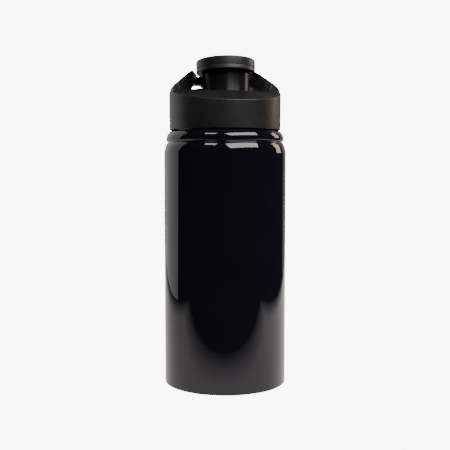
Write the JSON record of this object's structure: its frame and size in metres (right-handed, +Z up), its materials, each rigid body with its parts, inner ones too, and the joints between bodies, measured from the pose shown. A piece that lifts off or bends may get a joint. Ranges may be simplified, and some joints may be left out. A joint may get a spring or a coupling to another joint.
{
  "type": "sports bottle",
  "caption": "Double-walled steel sports bottle with a screw lid, a wide drinking spout under a round flip cap, and a carry loop moulded on the lid.",
  "frame": {"origin": "centre of the base, on the surface it stands on", "axes": "+Z up along the bottle's axis; -Y is the low front of the lid, +Y the hinge and carry loop"},
  "size_m": [0.073, 0.073, 0.1944],
  "materials": {
    "lacquer": "mirror gloss black lacquer on steel",
    "steel": "satin stainless steel",
    "solder": "dull solder",
    "getter_metal": "sintered metal pellet",
    "silicone": "matt black silicone",
    "satin_plastic": "fine-textured satin black polypropylene",
    "smooth_plastic": "smooth black polypropylene",
    "pin_steel": "drawn stainless wire"
  },
  "bodies": {
    "bottle": {"outer_shell": "lacquer", "inner_liner": "steel", "bottom_cup": "steel", "base_plate": "steel", "vacuum_seal": "solder", "getter": "getter_metal"},
    "gasket": {"lid_gasket": "silicone"},
    "lid": {"lid_shell": "satin_plastic", "lid_inner": "smooth_plastic", "spout": "smooth_plastic", "hinge_pin": "pin_steel"},
    "cap": {"cap_base": "satin_plastic", "cap_top": "satin_plastic", "cap_seal": "silicone"}
  },
  "joints": [
    {"name": "lid_lift", "type": "slide", "parent": "bottle", "child": "gasket", "axis": [0, 0, 1], "range_m": [0, 0.003]},
    {"name": "lid_turn", "type": "hinge", "parent": "gasket", "child": "lid", "pos_m": [0, 0, 0.155], "axis": [0, 0, 1], "range_deg": [0, 270]},
    {"name": "cap_flip", "type": "hinge", "parent": "lid", "child": "cap", "pos_m": [0, 0.01977, 0.18288], "axis": [-1, 0, 0], "range_deg": [0, 120]}
  ],
  "couplings": [
    {"joint": "lid_lift", "follows": "lid_turn", "m_per_rad": 0.00063662}
  ]
}
